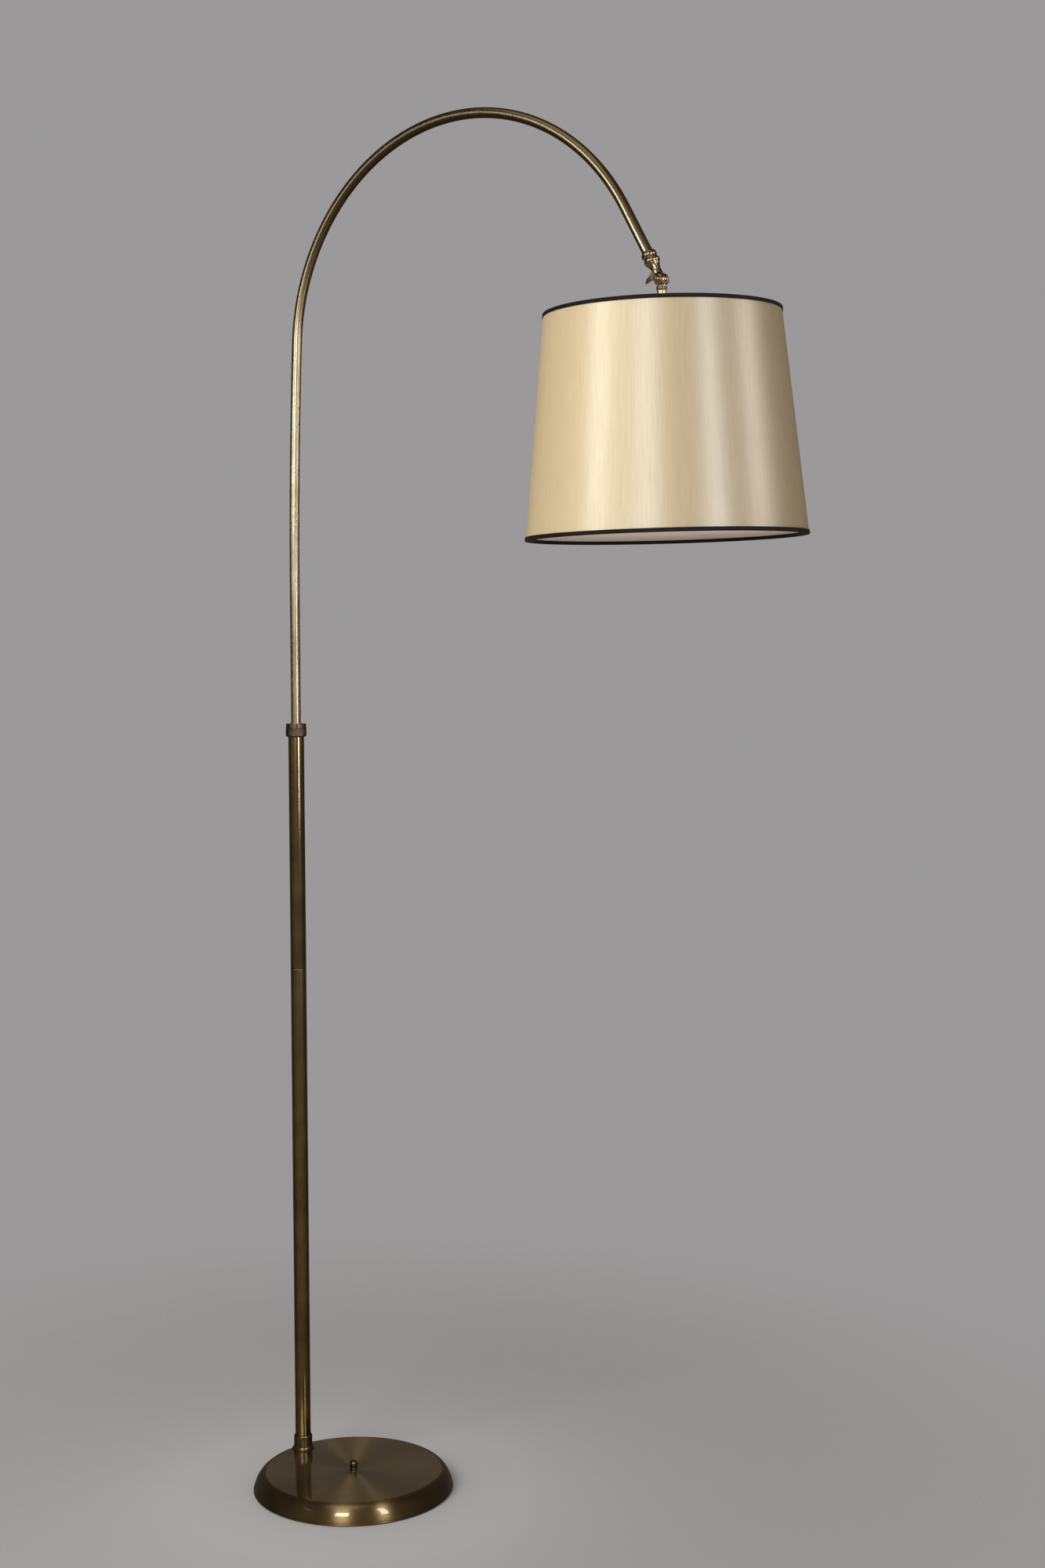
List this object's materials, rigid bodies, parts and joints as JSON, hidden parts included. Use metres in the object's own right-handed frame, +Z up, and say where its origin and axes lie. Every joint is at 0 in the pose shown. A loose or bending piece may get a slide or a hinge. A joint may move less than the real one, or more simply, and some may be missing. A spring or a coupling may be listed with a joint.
{
  "type": "arc floor lamp",
  "caption": "Arc floor lamp with a round weighted base, a telescoping swivelling arm tube and a tapered cloth shade on a tilting knuckle.",
  "frame": {"origin": "centre of the round base's underside, on the floor", "axes": "+Z up; +X is the way the arc reaches, from the pole towards the shade, at rest"},
  "size_m": [0.8312, 0.3608, 1.9171],
  "materials": {
    "bronze": "antiqued brass, polished",
    "spun_bronze": "antiqued brass, spun and brushed in circles",
    "iron": "rough",
    "steel": "zinc plated",
    "felt": "pressed felt",
    "black_plastic": "moulded",
    "fibre": "pressed fibre",
    "shade_cloth": "satin weave with a gold cast",
    "shade_lining": "matt film",
    "edge_tape": "black bias tape",
    "porcelain": "glazed",
    "flex": "smooth",
    "bulb_glass": "frosted"
  },
  "bodies": {
    "base": {"base_shell": "spun_bronze", "base_weight": "iron", "base_felt": "felt", "base_stud": "steel", "base_knob": "bronze", "inlet_bush": "black_plastic", "pole_nipple": "steel", "nipple_nut": "steel", "nipple_washer": "steel", "foot_plug": "bronze", "foot_collar": "bronze", "lower_tube_foot": "bronze", "lower_tube_top": "bronze", "tube_coupler": "steel", "top_bush": "bronze", "pole_lead": "flex"},
    "clamp_collar": {"clamp_collar": "bronze"},
    "collet": {"clamp_collet": "bronze"},
    "arm": {"arm_tube": "bronze", "arm_guide": "bronze", "arm_lead": "flex", "arm_ferrule": "bronze", "knuckle_arm_half": "bronze", "knuckle_washer": "fibre"},
    "wing_screw": {"wing_screw": "bronze"},
    "head": {"knuckle_shade_half": "bronze", "holder_cap": "bronze", "holder_shell": "black_plastic", "holder_insert": "porcelain", "holder_thread": "bronze", "holder_contact": "steel", "shade_ring": "black_plastic", "shade_spider": "steel", "shade_wire_bottom": "steel", "shade_fabric": "shade_cloth", "shade_liner": "shade_lining", "trim_top": "edge_tape", "trim_bottom": "edge_tape", "bulb_cap": "steel", "bulb_glass": "bulb_glass", "stem_lead": "flex"}
  },
  "joints": [
    {"name": "collar_turn", "type": "hinge", "parent": "base", "child": "clamp_collar", "pos_m": [-0.1124, 0.0213, 1.08], "axis": [0, 0, 1], "range_deg": [0, 180]},
    {"name": "arm_swivel", "type": "hinge", "parent": "base", "child": "collet", "pos_m": [-0.1124, 0.0213, 1.08], "axis": [0, 0, 1], "range_deg": [-170, 170]},
    {"name": "arm_height", "type": "slide", "parent": "collet", "child": "arm", "axis": [0, 0, 1], "range_m": [-0.19, 0.08]},
    {"name": "shade_tilt", "type": "hinge", "parent": "arm", "child": "head", "pos_m": [0.49861, 0.0213, 1.66837], "axis": [0, 1, 0], "range_deg": [-60, 60]},
    {"name": "wing_screw_turn", "type": "hinge", "parent": "arm", "child": "wing_screw", "pos_m": [0.49861, 0.0213, 1.66837], "axis": [0, 1, 0], "range_deg": [-180, 0]}
  ]
}
